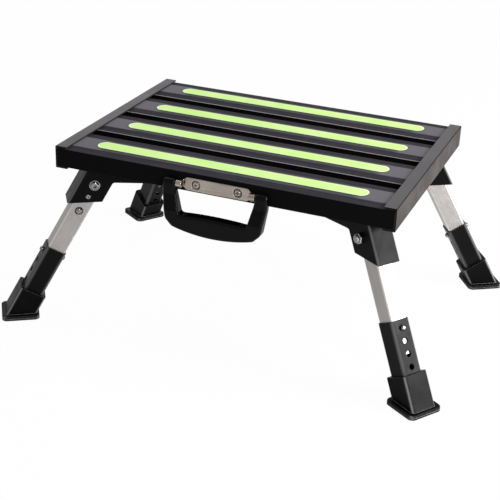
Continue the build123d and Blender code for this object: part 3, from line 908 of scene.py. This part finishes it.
@dataclass
class LegAssembly:
    """Bracket, folding leg, sleeve and foot of one corner."""

    corner: Corner
    tilt_deg: float = 29.1
    splay_deg: float = 33.8
    spring_heel: float = 0.0095
    spring_keep: float = 0.78
    seat_at: float = 0.043
    seat_half: float = 0.0072
    seat_ramp: float = 0.0068
    seat_depth: float = 0.00315
    seat_cuts: int = 28
    seat_join: float = 0.000001
    pivot_x: float = 0.192
    pivot_y: float = 0.1316
    pivot_z: float = 0.1895

    @classmethod
    def angles(cls) -> tuple[float, float]:
        """Tilt and splay of a leg in radians."""
        return math.radians(cls.tilt_deg), math.radians(cls.splay_deg)

    @classmethod
    def slope(cls, side_x: int, side_y: int) -> Vector:
        """Direction down a leg.

        Args:
            side_x: sign of the corner's place along X.
            side_y: sign of the corner's place along Y.

        Returns:
            Unit vector from the pivot towards the foot.
        """
        tilt, splay = cls.angles()
        return Vector((side_x * math.cos(splay) * math.sin(tilt),
                       side_y * math.sin(splay) * math.sin(tilt), -math.cos(tilt)))

    @classmethod
    def faces(cls) -> tuple[Vector, Vector]:
        """Directions that the faces of the rear right leg look in.

        Returns:
            Direction of the outer face, and of the face towards the long side.
        """
        tilt, splay = cls.angles()
        outer = Vector((math.cos(splay) * math.cos(tilt), math.sin(splay) * math.cos(tilt),
                        math.sin(tilt)))
        return outer, Vector((-math.sin(splay), math.cos(splay), 0.0))

    def _seat(self, mesh: bpy.types.Mesh, pivot: Vector, right: Vector) -> None:
        """Bows the spring's arm inwards under the release button, to leave room for the push.

        Args:
            mesh: mesh of the spring.
            pivot: place of the leg's pivot.
            right: direction that the button looks in.
        """
        down = self.slope(*self.corner.signs)
        reach = self.seat_half + self.seat_ramp
        form = bmesh.new()
        form.from_mesh(mesh)
        bmesh.ops.remove_doubles(form, verts=form.verts[:], dist=self.seat_join)
        for step in range(self.seat_cuts + 1):
            along = self.seat_at + reach * (2.0 * step / self.seat_cuts - 1.0)
            bmesh.ops.bisect_plane(form, geom=[*form.verts, *form.edges, *form.faces],
                                   dist=self.seat_join, plane_co=pivot + down * along,
                                   plane_no=down)
        for vert in form.verts:
            spot = vert.co - pivot
            if spot.dot(right) > 0.0:
                share = (reach - abs(spot.dot(down) - self.seat_at)) / self.seat_ramp
                share = min(max(share, 0.0), 1.0)
                vert.co -= right * (self.seat_depth * share * share * (3.0 - 2.0 * share))
        form.to_mesh(mesh)
        form.free()

    def build(self, nodes: dict[str, bpy.types.Object], wardrobe: Wardrobe) -> None:
        """Copies the lock clip as a leaf spring with its arm bowed in, and hangs it on the leg in
        its place.

        Args:
            nodes: CAD objects by name.
            wardrobe: the finishes.
        """
        label = self.corner.label
        side_x, side_y = self.corner.signs
        node = nodes[f"{label}_lock_clip"]
        spring = bpy.data.objects.new(f"{label}_lock_spring", node.data.copy())
        bpy.context.scene.collection.objects.link(spring)
        _, splay = self.angles()
        right = Vector((-side_y * math.sin(splay), side_x * math.cos(splay), 0.0))
        pivot = Vector((side_x * self.pivot_x, side_y * self.pivot_y, self.pivot_z))
        self._seat(spring.data, pivot, right)
        wardrobe.dress(spring, "spring_metal")
        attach(spring, f"{label}_leg")
        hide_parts(f"{label}_lock_clip")
        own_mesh(spring)

    def dress(self, nodes: dict[str, bpy.types.Object], wardrobe: Wardrobe) -> None:
        """Gives the corner's nodes their finishes.

        Args:
            nodes: CAD objects by name.
            wardrobe: the finishes.
        """
        finishes = {
            "bracket": "bracket_coat",
            "pivot_bolt": "zinc_plate",
            "pivot_nut": "zinc_plate",
            "spacers": "zinc_plate",
            "leg_tube": "leg_metal",
            "sleeve": "sleeve_coat",
            "snap_clip": "spring_metal",
            "release_button": "zinc_plate",
            "foot": "foot_rubber",
        }
        for piece, finish in finishes.items():
            wardrobe.dress(nodes[f"{self.corner.label}_{piece}"], finish)


@dataclass(frozen=True)
class SoftBox:
    """One square-cornered studio lamp that looks at the step."""

    name: str
    place: Triple
    aim: Triple
    width: float
    height: float
    radiance: float

    def light(self) -> None:
        """Adds the lamp to the scene."""
        lamp = bpy.data.lights.new(self.name, "AREA")
        lamp.shape = "RECTANGLE"
        lamp.size, lamp.size_y = self.width, self.height
        lamp.energy = self.radiance * math.pi * self.width * self.height
        holder = bpy.data.objects.new(self.name, lamp)
        holder.location = self.place
        way = Vector(self.aim) - Vector(self.place)
        holder.rotation_euler = way.to_track_quat("-Z", "Y").to_euler()
        bpy.context.scene.collection.objects.link(holder)


@dataclass(frozen=True)
class ViewPoint:
    """The camera's place, found from the photograph's perspective."""

    azimuth_deg: float = 21.03
    elevation_deg: float = 25.19
    roll_deg: float = 2.39
    distance: float = 1.6910
    target: Triple = (-0.0170, 0.0, 0.0693)
    focal_px: float = 1198.67
    sensor_mm: float = 36.0
    nearest: float = 0.05
    farthest: float = 60.0

    def place(self) -> None:
        """Adds the camera and makes it the scene's own."""
        turn, rise, roll = (math.radians(v) for v in
                            (self.azimuth_deg, self.elevation_deg, self.roll_deg))
        back = Vector((math.sin(turn) * math.cos(rise), -math.cos(turn) * math.cos(rise),
                       math.sin(rise)))
        level = Vector((0.0, 0.0, 1.0)).cross(back).normalized()
        upright = back.cross(level)
        right = math.cos(roll) * level + math.sin(roll) * upright
        top = math.cos(roll) * upright - math.sin(roll) * level
        spot = Vector(self.target) + back * self.distance
        lens = bpy.data.cameras.new("studio_camera")
        lens.sensor_width = self.sensor_mm
        lens.lens = self.focal_px / IMAGE_SIDE_PX * self.sensor_mm
        lens.clip_start, lens.clip_end = self.nearest, self.farthest
        camera = bpy.data.objects.new("studio_camera", lens)
        basis = Matrix((right, top, back)).transposed().to_4x4()
        camera.matrix_world = Matrix.Translation(spot) @ basis
        bpy.context.scene.collection.objects.link(camera)
        bpy.context.scene.camera = camera


@dataclass
class Studio:
    """Pale floor, white surroundings, lamps and camera."""

    floor_half: float = 9.0
    floor_color: Color = (0.86, 0.86, 0.86, 1.0)
    floor_glow: float = 0.97
    floor_mirror: float = 0.15
    world_fill: float = 0.45
    world_mirror: float = 0.5
    view: ViewPoint = ViewPoint()
    lamps: tuple[SoftBox, ...] = (
        SoftBox("right_softbox", (1.75, 0.0, 0.64), (0.15, -0.05, 0.12), 0.75, 0.65, 20.0),
        SoftBox("rear_softbox", (-1.05, 2.1, 0.95), (0.0, 0.0, 0.22), 1.9, 0.8, 1.5),
        SoftBox("floor_softbox", (1.15, 0.2, 1.3), (0.6, 0.05, 0.0), 0.6, 0.6, 6.5),
        SoftBox("left_softbox", (-1.1, 0.35, 1.5), (-0.15, 0.05, 0.24), 0.8, 0.8, 2.2),
        SoftBox("front_strip", (1.4, -1.5, 1.0), (0.15, -0.1, 0.12), 0.16, 0.5, 40.0),
    )

    @staticmethod
    def seen(graph: Graph, mirrored: float) -> bpy.types.NodeSocket:
        """Share of white that each kind of ray meets in the surroundings.

        Args:
            graph: graph of the floor or of the world.
            mirrored: share for rays off shiny surfaces.

        Returns:
            A value of 1 for camera rays and for rays through clear surfaces.
        """
        path = graph.node("ShaderNodeLightPath").outputs
        plain = graph.math("MAXIMUM", path["Is Camera Ray"], path["Is Transmission Ray"])
        return graph.math("MAXIMUM", plain, graph.times(path["Is Glossy Ray"], mirrored))

    def _floor(self) -> None:
        """Lays a plain pale floor that keeps the shadow and can be seen through from below."""
        mesh = bpy.data.meshes.new("studio_floor")
        reach = self.floor_half
        mesh.from_pydata([(-reach, -reach, 0.0), (reach, -reach, 0.0), (reach, reach, 0.0),
                          (-reach, reach, 0.0)], [], [(0, 1, 2, 3)])
        floor = bpy.data.objects.new("studio_floor", mesh)
        bpy.context.scene.collection.objects.link(floor)
        material = bpy.data.materials.new("studio_floor")
        material.use_nodes = True
        material.node_tree.nodes.clear()
        graph = Graph(material.node_tree)
        matte = graph.node("ShaderNodeBsdfDiffuse")
        matte.inputs["Color"].default_value = self.floor_color
        glow = graph.node("ShaderNodeEmission")
        shown = graph.node("ShaderNodeMixShader")
        white = graph.times(self.seen(graph, self.floor_mirror), self.floor_glow)
        graph.feed(shown.inputs[0], white)
        graph.feed(shown.inputs[1], matte.outputs[0])
        graph.feed(shown.inputs[2], glow.outputs[0])
        one_way = graph.node("ShaderNodeMixShader")
        graph.feed(one_way.inputs[0], graph.node("ShaderNodeNewGeometry").outputs["Backfacing"])
        graph.feed(one_way.inputs[1], shown.outputs[0])
        graph.feed(one_way.inputs[2], graph.node("ShaderNodeBsdfTransparent").outputs[0])
        out = graph.node("ShaderNodeOutputMaterial")
        graph.feed(out.inputs["Surface"], one_way.outputs[0])
        mesh.materials.append(material)

    def _surroundings(self) -> None:
        """Makes the world white where it shows and a soft fill elsewhere."""
        world = bpy.data.worlds.new("studio_world")
        world.use_nodes = True
        world.node_tree.nodes.clear()
        graph = Graph(world.node_tree)
        sky = graph.node("ShaderNodeBackground")
        sky.inputs["Color"].default_value = WHITE
        graph.feed(sky.inputs["Strength"],
                   graph.math("MAXIMUM", self.seen(graph, self.world_mirror), self.world_fill))
        out = graph.node("ShaderNodeOutputWorld")
        graph.feed(out.inputs["Surface"], sky.outputs[0])
        bpy.context.scene.world = world

    def build(self) -> None:
        """Adds the floor, the surroundings, the lamps and the camera."""
        self._floor()
        self._surroundings()
        for lamp in self.lamps:
            lamp.light()
        self.view.place()
        bpy.context.scene.view_settings.view_transform = "Standard"


def main() -> None:
    """Loads the frame, dresses every piece and sets up the studio."""
    logging.basicConfig(level=logging.INFO, format="%(name)s %(message)s")
    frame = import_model()
    nodes = frame["nodes"]
    wardrobe = Wardrobe()
    Platform().dress(nodes, wardrobe)
    CarryHandle().dress(nodes, wardrobe)
    for corner in Corner:
        leg = LegAssembly(corner)
        leg.dress(nodes, wardrobe)
        leg.build(nodes, wardrobe)
    Studio().build()
    bpy.context.view_layer.update()


if __name__ == "__main__":
    main()
